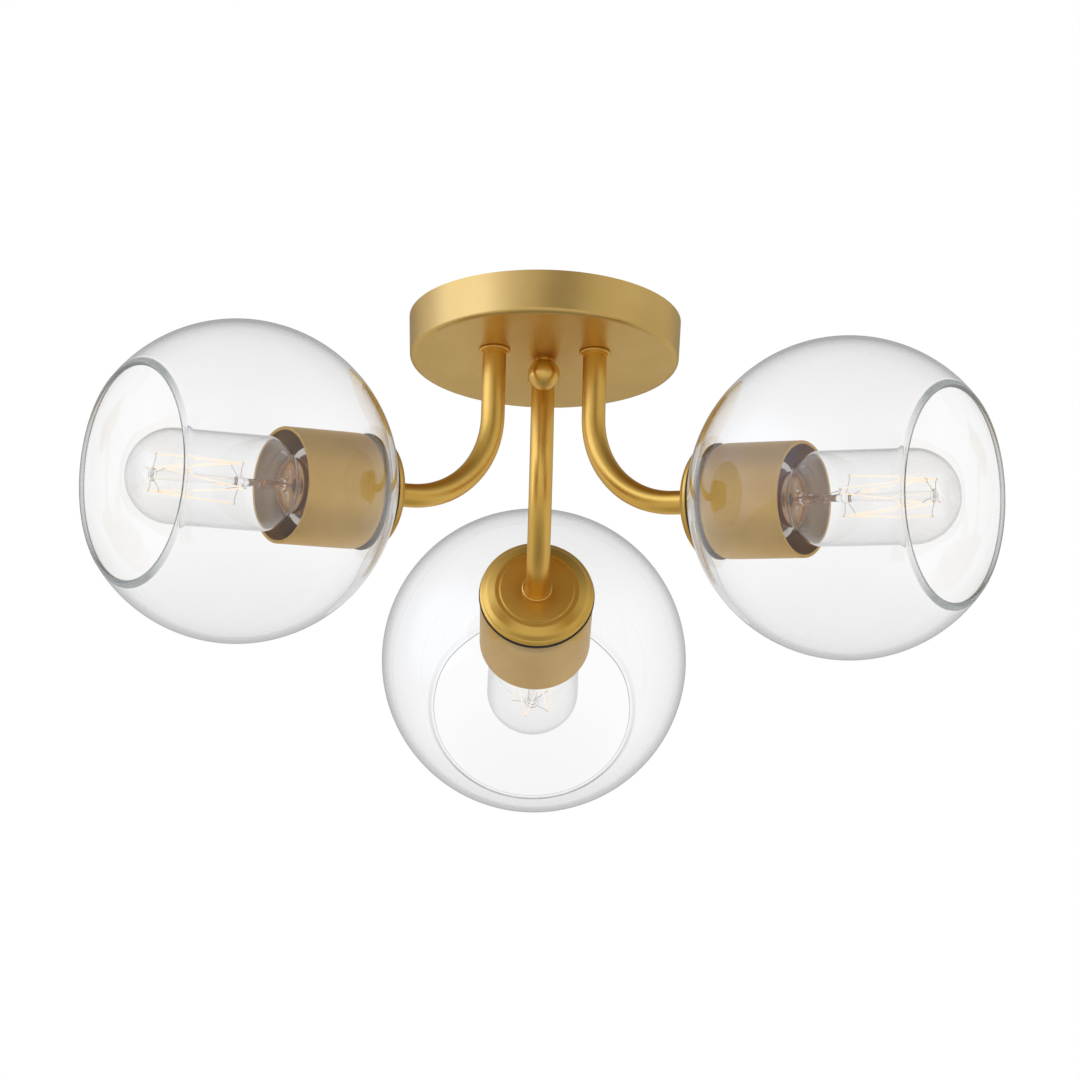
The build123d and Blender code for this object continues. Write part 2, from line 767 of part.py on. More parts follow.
shade_pieces = {
    "back_cap": back_cap,
    "glass_grommet": glass_grommet,
    "glass_globe": glass_globe,
    "socket_cup": socket_cup,
    "lampholder": lampholder,
    "screw_shell": screw_shell,
    "centre_contact": centre_contact,
    "bulb_base": bulb_base,
    "bulb_insulator": bulb_insulator,
    "bulb_contact": bulb_contact,
    "bulb_envelope": bulb_envelope,
    "bulb_stem": bulb_stem,
    "bulb_filament": bulb_filament,
    "bulb_wires": bulb_wires,
}
shade_sets = {"cap_collars": cap_collar, "cup_gaskets": cup_gasket, "cup_lock_nuts": cup_lock_nut}

for side, azimuth in arm_azimuths.items():
    save(arm_tube.part.moved(Location((0, 0, 0), (0, 0, azimuth))), f"arm_tube_{side}")
    for name, piece in shade_pieces.items():
        save(piece.part.moved(shade_place(azimuth)), f"{name}_{side}")

for name, piece in shade_sets.items():
    with BuildPart() as piece_set:
        for azimuth in arm_azimuths.values():
            add(piece.part.moved(shade_place(azimuth)))
    save(piece_set.part, name)
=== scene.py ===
import bpy
from math import acos, asin, atan2, cos, exp, pi, radians, sin, tan
from mathutils import Matrix, Vector


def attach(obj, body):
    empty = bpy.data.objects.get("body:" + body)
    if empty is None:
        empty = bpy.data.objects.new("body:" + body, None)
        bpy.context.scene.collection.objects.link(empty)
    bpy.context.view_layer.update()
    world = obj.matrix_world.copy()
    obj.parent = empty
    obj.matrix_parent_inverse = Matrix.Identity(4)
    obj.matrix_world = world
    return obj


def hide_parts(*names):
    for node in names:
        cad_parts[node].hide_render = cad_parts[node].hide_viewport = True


# Semi flush ceiling light: satin brass canopy, bent arms and clear glass globes round tubular bulbs.
# A shade's own pieces are made in millimetres round the Z axis, where z is t, from the globe's centre
# towards its mouth, and are then put in place. Everything else is in the row frame.

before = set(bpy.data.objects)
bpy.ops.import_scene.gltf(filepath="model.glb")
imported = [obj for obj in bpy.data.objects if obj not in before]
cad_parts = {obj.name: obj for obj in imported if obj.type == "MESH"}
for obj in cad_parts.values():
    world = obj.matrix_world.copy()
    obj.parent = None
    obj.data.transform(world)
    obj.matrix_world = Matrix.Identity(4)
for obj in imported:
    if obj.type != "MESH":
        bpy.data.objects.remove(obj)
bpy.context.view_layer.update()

MM = 0.001
OWN_PLACE = "own_place"
SIDES = {"rear": 90.0, "left": 210.0, "right": 330.0}

# ---------------------------------------------------------------- sizes
# In millimetres, and turns in degrees. What the CAD has too is as it is there.
DROOP = radians(7.5)
GLOBE_REACH = 163.2
GLOBE_DROP = 116.0
BORE_R = 5.0

GLOBE_R = 75.0
GLASS_WALL = 1.6
GLASS_HOLE_R = 15.0
MOUTH_T = 54.99
BEAD_R = 1.25
BEAD_FOOT = 2.4
BEAD_SWEEP = 215.0
NECK_EXTRA, NECK_EXTRA_AT, NECK_EXTRA_WIDTH = 0.3, 33.0, 12.0
CAP_FACE_T = -78.3
CAP_R = 27.7
CAP_WALL = 1.0
RING_INNER_R = 24.3
CUP_R = 27.3
CUP_WALL = 1.6
CUP_BACK_T = -69.497
CUP_MOUTH_T = -23.697
CUP_CORNER_R = 7.0
HOLDER_R = 18.75
HOLDER_FACE_T = -35.997
HOLDER_FOOT_R = 15.0
HOLDER_FOOT_T = -63.397
HOLDER_BORE_T = -58.297
CONTACT_WELL_R = 8.0
CONTACT_WELL_T = -56.297
SHELL_OUTER_R = 13.8
SHELL_LEDGE_T = -54.197

PITCH = 3.629
THREAD_MEAN_R = 12.65
THREAD_DEPTH = 0.45
THREAD_WALL = 0.35
THREAD_GAP = 0.35
CONTACT_T = -54.497
BASE_BOTTOM_T = -50.497
BASE_THREAD_TOP_T = -32.197
BASE_TOP_T = -28.497
BASE_RIM_R = 13.0
CEMENT_LOW_T = -34.4

BULB_R = 22.25
BULB_GLASS = 0.8
BULB_TIP_T = 55.503
POOL_DEPTH, POOL_R = 0.8, 8.0
NECK_R = 12.1
NECK_T = -31.597
SHOULDER_START_T = -29.997
SHOULDER_END_T = -14.497
SHOULDER_INNER_R = 6.0
PINCH_START_T = -22.997
PINCH_END_T = -12.997
ROD_R = 1.6
INNER_BUTTON_T = -1.297
OUTER_BUTTON_T = 44.003
FILAMENT_HOOKS = 5
FILAMENT_OUTER = (9.2, 42.6)
FILAMENT_INNER = (10.2, 0.6)
FILAMENT_END_TURN = 6.0
FILAMENT_BOW = 0.5
FILAMENT_COIL_R = 0.32
SUPPORT_WIRE_R = 0.16
SEAL_WIRE_R = 0.42
SUPPORT_CURL = 0.75

# How finely the turned and blown pieces are divided.
TURNED_STEPS = 128
GLOBE_STEPS = 288
WALL_STEPS = 160
BEAD_STEPS = 24
THREAD_STEPS = 96
RINGS_A_PITCH = 16
SHARP_ANGLE = radians(38)


# ---------------------------------------------------------------- shapes
def shade_place(azimuth):
    """Where a shade's own pieces go."""
    outward = Vector((cos(radians(azimuth)), sin(radians(azimuth)), 0))
    up = Vector((0, 0, 1))
    axis = outward * cos(DROOP) - up * sin(DROOP)
    across = outward.cross(up)
    place = Matrix((across, axis.cross(across), axis)).transposed().to_4x4()
    place.translation = (outward * GLOBE_REACH - up * GLOBE_DROP) * MM
    return place


def soften(corners, closed=True, steps=5):
    """Outline through corners (r, t, radius), each rounded by an arc of its radius."""
    points = []
    for i, (r, t, radius) in enumerate(corners):
        here = Vector((r, t))
        if radius == 0 or (not closed and i in (0, len(corners) - 1)):
            points.append((r, t))
            continue
        before = (Vector(corners[i - 1][:2]) - here).normalized()
        after = (Vector(corners[(i + 1) % len(corners)][:2]) - here).normalized()
        half = before.angle(after) / 2
        centre = here + (before + after).normalized() * radius / sin(half)
        spoke = here + before * radius / tan(half) - centre
        turn = pi - 2 * half
        if before.x * after.y - before.y * after.x > 0:
            turn = -turn
        for step in range(steps + 1):
            spoke_now = spoke.copy()
            spoke_now.rotate(Matrix.Rotation(turn * step / steps, 2))
            points.append(tuple(centre + spoke_now))
    return points


def arc(centre, radius, start, end, steps):
    """Points (r, t) along an arc, with its angles in degrees."""
    turns = [radians(start + (end - start) * step / steps) for step in range(steps + 1)]
    return [(centre[0] + radius * cos(a), centre[1] + radius * sin(a)) for a in turns]


def ringed(name, rings, closed=False):
    """Mesh through rings of points in millimetres, where a ring of one point is a tip."""
    vertices = [Vector(point) * MM for ring in rings for point in ring]
    starts = [sum(len(ring) for ring in rings[:i]) for i in range(len(rings))]
    faces = []
    pairs = list(zip(range(len(rings)), range(1, len(rings))))
    if closed:
        pairs.append((len(rings) - 1, 0))
    for low, high in pairs:
        count = max(len(rings[low]), len(rings[high]))
        for i in range(count):
            j = (i + 1) % count
            face = [starts[low] + i % len(rings[low]), starts[low] + j % len(rings[low])]
            face += [starts[high] + j % len(rings[high]), starts[high] + i % len(rings[high])]
            faces.append(list(dict.fromkeys(face)))
    mesh = bpy.data.meshes.new(name)
    mesh.from_pydata(vertices, [], faces)
    if signed_volume(mesh) < 0:
        mesh.flip_normals()
    mesh.shade_smooth()
    mesh.set_sharp_from_angle(angle=SHARP_ANGLE)
    return mesh


def signed_volume(mesh):
    """Volume inside a mesh, negative where its faces point in."""
    total = 0.0
    for face in mesh.polygons:
        corners = [mesh.vertices[i].co for i in face.vertices]
        for b, c in zip(corners[1:], corners[2:]):
            total += corners[0].dot(b.cross(c))
    return total


def turned(name, outline, closed=True, steps=TURNED_STEPS, shift=None):
    """Mesh of an outline of (r, t) points turned round the Z axis. shift(t) moves a ring's centre."""
    rings = []
    for r, t in outline:
        x, y = shift(t) if shift else (0.0, 0.0)
        if r < 1e-6:
            rings.append([(x, y, t)])
        else:
            spokes = [2 * pi * step / steps for step in range(steps)]
            rings.append([(x + r * cos(a), y + r * sin(a), t) for a in spokes])
    return ringed(name, rings, closed)


def on_each_shade(name, pattern, material, body, node=None):
    """The same piece in all three shades, with its finish, its body and the node that it replaces.

    Each vertex keeps its place in the shade's own frame, for the finish to follow.
    """
    for side, azimuth in SIDES.items():
        mesh = pattern.copy()
        own = mesh.attributes.new(OWN_PLACE, "FLOAT_VECTOR", "POINT")
        own.data.foreach_set("vector", [value for vertex in mesh.vertices for value in vertex.co])
        mesh.transform(shade_place(azimuth))
        mesh.materials.clear()
        mesh.materials.append(material)
        made = bpy.data.objects.new(f"{name}_{side}", mesh)
        bpy.context.scene.collection.objects.link(made)
        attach(made, body if body == "fixture" else f"{body}_{side}")
        if node:
            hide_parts(f"{node}_{side}")
    bpy.data.meshes.remove(pattern)


def wires(name, runs, radius, order=2):
    """Mesh of round wires of one radius along runs of points in millimetres."""
    data = bpy.data.curves.new(name, "CURVE")
    data.dimensions = "3D"
    data.bevel_depth = radius * MM
    data.bevel_resolution = 3
    data.use_fill_caps = True
    for run in runs:
        spline = data.splines.new("NURBS")
        spline.points.add(len(run) - 1)
        for point, place in zip(spline.points, run):
            point.co = (*(Vector(place) * MM), 1.0)
        spline.order_u = order
        spline.use_endpoint_u = True
        spline.resolution_u = 6
    bent = bpy.data.objects.new(name, data)
    mesh = bpy.data.meshes.new_from_object(bent)
    bpy.data.objects.remove(bent)
    bpy.data.curves.remove(data)
    mesh.shade_smooth()
    return mesh


def around(radius, turn, t):
    """Point at a radius and a turn in degrees round the shade's axis, at t."""
    return (radius * cos(radians(turn)), radius * sin(radians(turn)), t)


# ---------------------------------------------------------------- finishes
def linear(code):
    """Linear colour of an sRGB hex code."""
    parts = [int(code[i : i + 2], 16) / 255 for i in (1, 3, 5)]
    return (*[c / 12.92 if c <= 0.04045 else ((c + 0.055) / 1.055) ** 2.4 for c in parts], 1.0)


def add_node(tree, kind, values=(), links=(), **settings):
    """Adds a node with its settings, the values of its sockets and the sockets that feed it."""
    made = tree.nodes.new(kind)
    for name, value in settings.items():
        setattr(made, name, value)
    for socket, value in dict(values).items():
        made.inputs[socket].default_value = value
    for socket, source in dict(links).items():
        tree.links.new(source, made.inputs[socket])
    return made


def blank(name):
    """A new material with an empty node tree and its output."""
    material = bpy.data.materials.new(name)
    material.use_nodes = True
    material.node_tree.nodes.clear()
    return material, material.node_tree, add_node(material.node_tree, "ShaderNodeOutputMaterial")


def place_on(tree, own):
    """Where a point is: in its shade's own frame, or in the row frame."""
    if own:
        return add_node(tree, "ShaderNodeAttribute", attribute_name=OWN_PLACE).outputs["Vector"]
    return add_node(tree, "ShaderNodeTexCoord").outputs["Object"]


def shaded(
    name, values, light, dark, patch_mm, rough, spread, grain_mm, grain_height_mm, rings=False, own=True
):
    """Principled finish: two tones in soft patches, uneven roughness, and a fine grain in relief.

    rings runs the grain round the Z axis, as a lathe or a spinning tool leaves it. own follows a shade's own
    frame. The real grain is too fine to show, so it is drawn as coarse as it needs to be.
    """
    material, tree, output = blank(name)
    spot = place_on(tree, own)
    patches = add_node(
        tree,
        "ShaderNodeTexNoise",
        {"Scale": 1 / (patch_mm * MM), "Detail": 4.0, "Roughness": 0.55},
        {"Vector": spot},
    )
    tones = add_node(tree, "ShaderNodeValToRGB", links={"Fac": patches.outputs["Fac"]})
    tones.color_ramp.elements[0].position, tones.color_ramp.elements[0].color = 0.32, linear(dark)
    tones.color_ramp.elements[1].position, tones.color_ramp.elements[1].color = 0.68, linear(light)
    if rings:
        flat = add_node(tree, "ShaderNodeVectorMath", {1: (1, 1, 0)}, {0: spot}, operation="MULTIPLY")
        radius = add_node(
            tree, "ShaderNodeVectorMath", links={0: flat.outputs["Vector"]}, operation="LENGTH"
        )
        along = add_node(tree, "ShaderNodeSeparateXYZ", links={0: spot})
        spot = add_node(
            tree, "ShaderNodeCombineXYZ", links={"X": radius.outputs["Value"], "Y": along.outputs["Z"]}
        ).outputs["Vector"]
    grain = add_node(
        tree, "ShaderNodeTexNoise", {"Scale": 1 / (grain_mm * MM), "Detail": 2.0}, {"Vector": spot}
    )
    relief = add_node(
        tree,
        "ShaderNodeBump",
        {"Strength": 1.0, "Distance": grain_height_mm * MM},
        {"Height": grain.outputs["Fac"]},
    )
    mixed = add_node(
        tree,
        "ShaderNodeMath",
        links={0: patches.outputs["Fac"], 1: grain.outputs["Fac"]},
        operation="MULTIPLY",
    )
    gloss = add_node(
        tree,
        "ShaderNodeMapRange",
        {"From Min": 0.12, "From Max": 0.4, "To Min": rough - spread, "To Max": rough + spread},
        {"Value": mixed.outputs["Value"]},
    )
    surface = add_node(
        tree,
        "ShaderNodeBsdfPrincipled",
        values,
        {
            "Base Color": tones.outputs["Color"],
            "Roughness": gloss.outputs["Result"],
            "Normal": relief.outputs["Normal"],
        },
    )
    tree.links.new(surface.outputs["BSDF"], output.inputs["Surface"])
    return material


NO_RIM = (90.0, 91.0)


def clear_glass(
    name, edge_painted_shade, depth_tint, density, wave_mm, wave_height_mm, rim_t=NO_RIM, rim_painted_shade="#FFFFFF"
):
    """Clear glass: bright, tinted through its depth, with soft waves from the hot working.

    It greys where it is seen edge on: painted shade at its edges. Between the two places rim_t along the
    shade it turns to a melted rim, duller, and greyed round its edges by a darker painted shade. Shadow rays
    pass straight through it, so that the lamps light what is inside.
    """
    material, tree, output = blank(name)
    spot = place_on(tree, True)
    waves = add_node(
        tree, "ShaderNodeTexNoise", {"Scale": 1 / (wave_mm * MM), "Detail": 1.0}, {"Vector": spot}
    )
    relief = add_node(
        tree,
        "ShaderNodeBump",
        {"Strength": 1.0, "Distance": wave_height_mm * MM},
        {"Height": waves.outputs["Fac"]},
    )
    along = add_node(tree, "ShaderNodeSeparateXYZ", links={0: spot})
    satin = add_node(
        tree,
        "ShaderNodeMapRange",
        {"From Min": rim_t[0] * MM, "From Max": rim_t[1] * MM, "To Max": 0.12},
        {"Value": along.outputs["Z"]},
    )
    # Painted shade: the glass greys where it is seen edge on, and darkest round its rim's edges.
    grazing = add_node(tree, "ShaderNodeLayerWeight", {"Blend": 0.5}).outputs["Facing"]
    painted_shades = []
    for start, end, tint in ((0.7, 1.0, edge_painted_shade), (0.05, 0.4, rim_painted_shade)):
        greys = add_node(tree, "ShaderNodeValToRGB", links={"Fac": grazing})
        greys.color_ramp.elements[0].position, greys.color_ramp.elements[0].color = start, (1, 1, 1, 1)
        greys.color_ramp.elements[1].position, greys.color_ramp.elements[1].color = end, linear(tint)
        painted_shades.append(greys.outputs["Color"])
    at_rim = add_node(
        tree,
        "ShaderNodeMapRange",
        {"From Min": (rim_t[0] - 0.5) * MM, "From Max": rim_t[0] * MM},
        {"Value": along.outputs["Z"]},
    )
    edge = add_node(
        tree, "ShaderNodeMix", links={0: at_rim.outputs["Result"], 6: painted_shades[0], 7: painted_shades[1]}, data_type="RGBA"
    )
    surface = add_node(
        tree,
        "ShaderNodeBsdfPrincipled",
        {"IOR": 1.52, "Transmission Weight": 1.0},
        {
            "Base Color": edge.outputs[2],
            "Normal": relief.outputs["Normal"],
            "Roughness": satin.outputs["Result"],
        },
    )
    through = add_node(tree, "ShaderNodeBsdfTransparent", {"Color": linear("#FCFCFC")})
    path = add_node(tree, "ShaderNodeLightPath")
    # Light that runs along inside the wall leaves after a few reflections, as it does at a real wall's flaws.
    trapped = add_node(
        tree, "ShaderNodeMath", {1: 2.5}, {0: path.outputs["Glossy Depth"]}, operation="GREATER_THAN"
    )
    straight = add_node(
        tree,
        "ShaderNodeMath",
        links={0: path.outputs["Is Shadow Ray"], 1: trapped.outputs["Value"]},
        operation="MAXIMUM",
    )
    both = add_node(
        tree,
        "ShaderNodeMixShader",
        links={0: straight.outputs["Value"], 1: surface.outputs["BSDF"], 2: through.outputs["BSDF"]},
    )
    inside = add_node(tree, "ShaderNodeVolumeAbsorption", {"Color": linear(depth_tint), "Density": density})
    tree.links.new(both.outputs["Shader"], output.inputs["Surface"])
    tree.links.new(inside.outputs["Volume"], output.inputs["Volume"])
    return material


METAL = {"Metallic": 1.0}
BRASS = {"Metallic": 1.0, "Specular Tint": linear("#F4EEE4")}
# Brass spun into a pan, buffed to a satin and lacquered: a pale tan gold with faint rings.
canopy_brass = shaded(
    "spun_satin_brass", BRASS, "#DCBA72", "#D2AE66",
    patch_mm=38, rough=0.33, spread=0.03, grain_mm=0.9, grain_height_mm=0.004, rings=True, own=False,
)
# The same pan brass on the shades' caps and cups, with its rings round each shade's axis. The cups' copy is
# darker and more saturated than the canopy's, as painted shade.
cup_brass_with_painted_shade = shaded(
    "spun_satin_brass_cup_painted_shade", BRASS, "#D8B268", "#CCA458",
    patch_mm=24, rough=0.38, spread=0.03, grain_mm=0.9, grain_height_mm=0.004, rings=True,
)
cap_brass = shaded(
    "spun_satin_brass_cap", BRASS, "#E2B860", "#D6AC52",
    patch_mm=24, rough=0.33, spread=0.03, grain_mm=0.9, grain_height_mm=0.004, rings=True,
)
# Brass tube drawn, bent and hand-brushed to a satin: a warmer gold.
drawn_brass = shaded(
    "drawn_satin_brass", BRASS, "#E8BC60", "#DCAE52",
    patch_mm=30, rough=0.30, spread=0.03, grain_mm=0.7, grain_height_mm=0.004, own=False,
)
# Small brass fittings turned on a lathe, satin lacquered: the same gold.
turned_brass = shaded(
    "turned_satin_brass", BRASS, "#EBC06A", "#DFB25A",
    patch_mm=16, rough=0.30, spread=0.03, grain_mm=0.6, grain_height_mm=0.004, own=False,
)
# Plain milled brass nuts: brighter and yellower, no lacquer.
milled_brass = shaded(
    "milled_brass", BRASS, "#E6C272", "#D6AF60",
    patch_mm=6, rough=0.32, spread=0.05, grain_mm=0.5, grain_height_mm=0.006, own=False,
)
# Thin brass sheet rolled into a thread: bright, with faint rings from the rollers.
rolled_brass = shaded(
    "rolled_brass", BRASS, "#D8AE62", "#C59547",
    patch_mm=8, rough=0.22, spread=0.04, grain_mm=0.5, grain_height_mm=0.004, rings=True,
)
# Thin brass strip, cut and bent for a spring contact.
strip_brass = shaded(
    "bent_brass_strip", BRASS, "#D2A95C", "#C09246",
    patch_mm=6, rough=0.26, spread=0.04, grain_mm=0.5, grain_height_mm=0.004, own=False,
)
# Mild steel, zinc plated: bluish grey with a fine speckle of zinc crystals.
zinc_steel = shaded(
    "zinc_plated_steel", METAL, "#C6C9CC", "#AEB2B7",
    patch_mm=5, rough=0.36, spread=0.06, grain_mm=0.8, grain_height_mm=0.006, own=False,
)
# Steel screw with green chromate paint.
green_paint = shaded(
    "green_painted_steel", {"IOR": 1.5}, "#2E7A3A", "#256B31",
    patch_mm=3, rough=0.42, spread=0.05, grain_mm=0.5, grain_height_mm=0.01, own=False,
)
# PVC insulation, extruded: soft sheen with a slight ripple.
black_pvc = shaded(
    "black_extruded_pvc", {"IOR": 1.53}, "#1B1B1D", "#141416",
    patch_mm=9, rough=0.48, spread=0.05, grain_mm=0.8, grain_height_mm=0.01, own=False,
)
white_pvc = shaded(
    "white_extruded_pvc", {"IOR": 1.53}, "#DEDDD8", "#D2D0C9",
    patch_mm=9, rough=0.45, spread=0.05, grain_mm=0.8, grain_height_mm=0.01, own=False,
)
# Bare copper strand.
copper = shaded(
    "stranded_copper", METAL, "#D98C63", "#C0744E",
    patch_mm=2, rough=0.3, spread=0.06, grain_mm=0.4, grain_height_mm=0.03, own=False,
)
# Moulded rubber with a matt, slightly dusty skin.
rubber = shaded(
    "black_moulded_rubber", {"IOR": 1.52}, "#242424", "#191919",
    patch_mm=6, rough=0.75, spread=0.08, grain_mm=0.5, grain_height_mm=0.02, own=False,
)
# This black is painted shade for the gap between the cap and the globe.
gap_shade_black = shaded(
    "black_gap_shade_ring", {"IOR": 1.52}, "#2A2522", "#1C1917",
    patch_mm=6, rough=0.7, spread=0.08, grain_mm=0.5, grain_height_mm=0.02,
)
# Porcelain with a fired white glaze: smooth and wet-looking, with a faint orange-peel.
porcelain = shaded(
    "white_glazed_porcelain", {"IOR": 1.5, "Coat Weight": 0.6, "Coat Roughness": 0.05}, "#F2F2F3", "#E8E8EA",
    patch_mm=14, rough=0.18, spread=0.04, grain_mm=2.2, grain_height_mm=0.01,
)
# Black vitrified glass in the foot of the bulb's base.
black_glass = shaded(
    "black_vitrite", {"IOR": 1.55}, "#17151A", "#0E0D10",
    patch_mm=4, rough=0.15, spread=0.04, grain_mm=1.0, grain_height_mm=0.01, own=False,
)
# Tin solder, dulled, with a lumpy skin.
solder = shaded(
    "tin_solder", METAL, "#B9B9B6", "#9E9E9B",
    patch_mm=2, rough=0.38, spread=0.08, grain_mm=0.9, grain_height_mm=0.03, own=False,
)
# Phenolic basing cement between glass and base: golden brown and chalky.
cement = shaded(
    "phenolic_cement", {"IOR": 1.5}, "#C8913F", "#A9702B",
    patch_mm=2.5, rough=0.7, spread=0.08, grain_mm=0.6, grain_height_mm=0.05,
)
# Nickel wire, drawn, grey and faintly oxidised.
nickel = shaded(
    "drawn_nickel_wire", METAL, "#E4DED6", "#D2CBC1",
    patch_mm=3, rough=0.42, spread=0.06, grain_mm=0.4, grain_height_mm=0.003,
)
# Copper-clad seal wire, oxidised red-gold where it is fused into the glass.
seal_copper = shaded(
    "oxidised_seal_wire", METAL, "#D69A4C", "#B27430",
    patch_mm=2, rough=0.34, spread=0.06, grain_mm=0.4, grain_height_mm=0.003,
)

# Soda-lime glass, blown: faintly green through its depth, with a fire-polished rim.
# The edge and rim colours given below are painted shade, for where the glass is seen edge on.
globe_glass = clear_glass(
    "blown_globe_glass", edge_painted_shade="#DDE1DF", depth_tint="#D3DAD5", density=4.0, wave_mm=70.0,
    wave_height_mm=0.003, rim_t=(MOUTH_T - 1.7, MOUTH_T - 0.2), rim_painted_shade="#6F7674",
)
# Soda-lime tube, drawn and closed in a flame: colourless, with slow waves.
bulb_glass = clear_glass(
    "drawn_bulb_glass", edge_painted_shade="#CDD1D0", depth_tint="#C4C6C6", density=8.0, wave_mm=24.0,
    wave_height_mm=0.02,
)
# Lead glass, pressed hot between jaws: lumpy and a little grey.
stem_glass = clear_glass(
    "pressed_lead_glass", edge_painted_shade="#D5D6D4", depth_tint="#D8D9D6", density=6.0, wave_mm=3.0,
    wave_height_mm=0.06,
)


def glowing(name, core, rim):
    """Filament at working heat: pale cream, a little redder where it starts and ends."""
    material, tree, output = blank(name)
    spot = place_on(tree, True)
    height = add_node(tree, "ShaderNodeSeparateXYZ", links={0: spot})
    warmth = add_node(
        tree,
        "ShaderNodeMapRange",
        {"From Min": FILAMENT_INNER[1] * MM, "From Max": FILAMENT_OUTER[1] * MM},
        {"Value": height.outputs["Z"]},
    )
    tones = add_node(tree, "ShaderNodeValToRGB", links={"Fac": warmth.outputs["Result"]})
    tones.color_ramp.elements[0].color = linear(rim)
    tones.color_ramp.elements[1].color = linear(rim)
    tones.color_ramp.elements.new(0.5).color = linear(core)
    surface = add_node(
        tree,
        "ShaderNodeBsdfPrincipled",
        {"Roughness": 0.5, "Emission Strength": 1.0, "Base Color": linear("#6B5A48")},
        {"Emission Color": tones.outputs["Color"]},
    )
    tree.links.new(surface.outputs["BSDF"], output.inputs["Surface"])
    return material


filament_glow = glowing("glowing_filament", "#FFF3E0", "#FFE8CC")

# ---------------------------------------------------------------- canopy, arms and fittings
FITTING_FINISHES = (
    (["canopy"], canopy_brass),
    (["canopy_collars", "cap_collars", "ball_finial", "finial_washer"], turned_brass),
    (["arm_lock_nuts", "cup_lock_nuts"], milled_brass),
    ([f"arm_tube_{side}" for side in SIDES], drawn_brass),
    ([f"centre_contact_{side}" for side in SIDES], strip_brass),
    (["mounting_crossbar", "centre_stud", "stud_lock_nut"], zinc_steel),
    (["ground_screw"], green_paint),
    (["hot_leads"], black_pvc),
    (["neutral_leads"], white_pvc),
    (["lead_tips"], copper),
    (["cup_gaskets"] + [f"glass_grommet_{side}" for side in SIDES], rubber),
    ([f"bulb_insulator_{side}" for side in SIDES], black_glass),
    ([f"bulb_contact_{side}" for side in SIDES], solder),
)
for names, finish in FITTING_FINISHES:
    for name in names:
        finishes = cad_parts[name].data.materials
        if not finishes:
            finishes.append(finish)
        for index in range(len(finishes)):
            finishes[index] = finish

# ---------------------------------------------------------------- back caps and socket cups
cap_skin = soften(
    [
        (BORE_R, CAP_FACE_T, 0.15),
        (17.9, CAP_FACE_T, 0.25),
        (18.3, CAP_FACE_T + 0.72, 0.25),
        (20.4, CAP_FACE_T + 0.66, 2.4),
        (24.6, CAP_FACE_T + 2.35, 3.5),
        (26.3, CAP_FACE_T + 4.3, 0.3),
        (26.75, CAP_FACE_T + 4.5, 0.2),
        (CAP_R, CAP_FACE_T + 5.4, 0.4),
        (CAP_R, CAP_FACE_T + 6.9, 0.3),
        (CAP_R - CAP_WALL, CAP_FACE_T + 6.9, 0.3),
        (CAP_R - CAP_WALL, CAP_FACE_T + 5.8, 0.3),
        (25.2, CAP_FACE_T + 4.7, 0.5),
        (23.8, CAP_FACE_T + 3.2, 2.5),
        (20.2, CAP_FACE_T + 1.7, 2.0),
        (17.0, CAP_FACE_T + 1.5, 0.5),
        (16.9, CAP_FACE_T + CAP_WALL, 0.1),
        (BORE_R, CAP_FACE_T + CAP_WALL, 0.15),
    ]
)
on_each_shade("spun_cap", turned("spun_cap", cap_skin), cap_brass, "fixture", "back_cap")

cup_skin = soften(
    [
        (BORE_R, CUP_BACK_T, 0.1),
        (CUP_R, CUP_BACK_T, CUP_CORNER_R),
        (CUP_R, CUP_MOUTH_T, 0.25),
        (CUP_R - CUP_WALL, CUP_MOUTH_T, 0.25),
        (CUP_R - CUP_WALL, CUP_BACK_T + CUP_WALL, CUP_CORNER_R - CUP_WALL),
        (BORE_R, CUP_BACK_T + CUP_WALL, 0.1),
    ],
    steps=10,
)
on_each_shade("spun_cup", turned("spun_cup", cup_skin), cup_brass_with_painted_shade, "fixture", "socket_cup")

# A ring of black rubber between the cap and the globe; its black is painted shade for the dark gap there. It
# follows the glass, and it stands a little proud of the cap, as a dark line.
gap_shade_skin = soften(
    [
        (RING_INNER_R, CAP_FACE_T + 5.4, 0.2),
        (26.5, CAP_FACE_T + 5.9, 0.2),
        (26.5, CAP_FACE_T + 7.0, 0.1),
        (CAP_R + 0.4, CAP_FACE_T + 7.0, 0.35),
        (CAP_R + 0.35, CAP_FACE_T + 8.6, 0.2),
        (RING_INNER_R, CAP_FACE_T + 7.15, 0.3),
    ]
)
on_each_shade("cap_gap_shade", turned("cap_gap_shade", gap_shade_skin), gap_shade_black, "fixture")

# ---------------------------------------------------------------- lampholders
holder_skin = soften(
    [
        (0, HOLDER_BORE_T, 0),
        (BORE_R, HOLDER_BORE_T, 0.3),
        (BORE_R, HOLDER_FOOT_T, 0.3),
        (HOLDER_FOOT_R, HOLDER_FOOT_T, 0.8),
        (HOLDER_FOOT_R, HOLDER_FOOT_T + 3.4, 1.0),
        (HOLDER_R, HOLDER_FOOT_T + 6.4, 1.0),
        (HOLDER_R, HOLDER_FACE_T, 1.1),
        (SHELL_OUTER_R + 1.0, HOLDER_FACE_T, 0.6),
        (SHELL_OUTER_R + 1.0, SHELL_LEDGE_T, 0.2),
        (CONTACT_WELL_R, SHELL_LEDGE_T, 0.4),
        (CONTACT_WELL_R, CONTACT_WELL_T, 0.3),
        (0, CONTACT_WELL_T, 0),
    ],
    closed=False,
)
on_each_shade(
    "porcelain_holder", turned("porcelain_holder", holder_skin, False), porcelain, "fixture",
    "lampholder",
)


